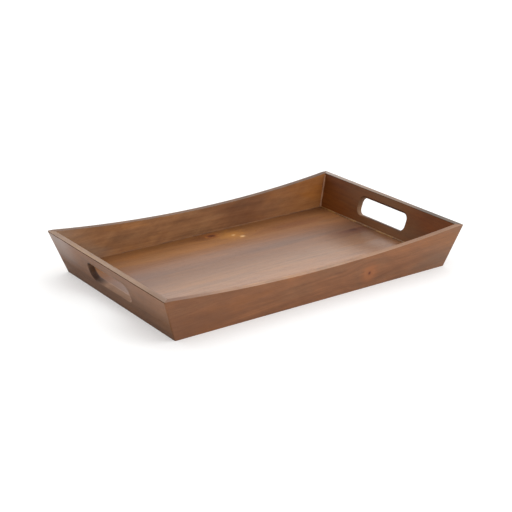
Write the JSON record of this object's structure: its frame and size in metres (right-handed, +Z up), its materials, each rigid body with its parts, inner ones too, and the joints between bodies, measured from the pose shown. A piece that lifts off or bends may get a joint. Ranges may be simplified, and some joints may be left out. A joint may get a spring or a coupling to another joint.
{
  "type": "serving tray",
  "caption": "Rectangular wooden serving tray with splayed mitred walls, long sides that dip in the middle, and a hand hole in each end.",
  "frame": {"origin": "on the ground, under the middle of the tray", "axes": "+X along the tray to the right end, +Y across it to the back, +Z up"},
  "size_m": [0.508, 0.324, 0.0635],
  "materials": {
    "acacia_wall": "satin",
    "acacia_base": "satin",
    "acacia_spline": "matte"
  },
  "bodies": {
    "root": {"front_side": "acacia_wall", "back_side": "acacia_wall", "left_end": "acacia_wall", "right_end": "acacia_wall", "base_stave_1": "acacia_base", "base_stave_2": "acacia_base", "base_stave_3": "acacia_base", "base_stave_4": "acacia_base", "base_stave_5": "acacia_base", "spline_front_left": "acacia_spline", "spline_back_left": "acacia_spline", "spline_front_right": "acacia_spline", "spline_back_right": "acacia_spline"}
  },
  "joints": []
}
